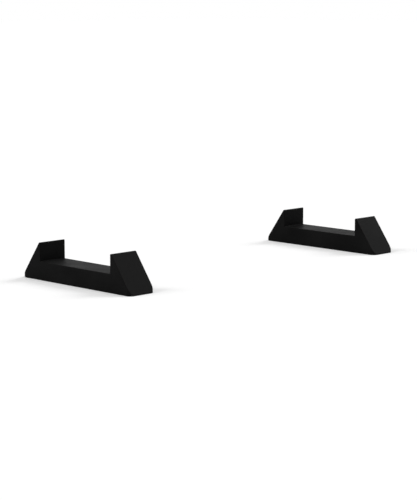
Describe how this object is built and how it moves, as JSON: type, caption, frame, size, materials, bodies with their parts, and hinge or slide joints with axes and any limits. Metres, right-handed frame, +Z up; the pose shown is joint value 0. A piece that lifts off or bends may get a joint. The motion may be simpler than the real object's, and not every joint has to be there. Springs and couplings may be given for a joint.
{
  "type": "console vertical stand",
  "caption": "Low moulded feet with wedge-shaped jaws, each with an upright-walled slot, that hold a slab-shaped game console standing on its narrow side.",
  "frame": {"origin": "on the floor, midway between the two feet", "axes": "+Z up, X across the slots, Y along the slots from the front foot to the rear foot"},
  "size_m": [0.086, 0.2088, 0.0202],
  "materials": {
    "black_plastic": "black moulded plastic with a fine matte grain"
  },
  "bodies": {
    "root": {"front_foot": "black_plastic", "rear_foot": "black_plastic"}
  },
  "joints": []
}
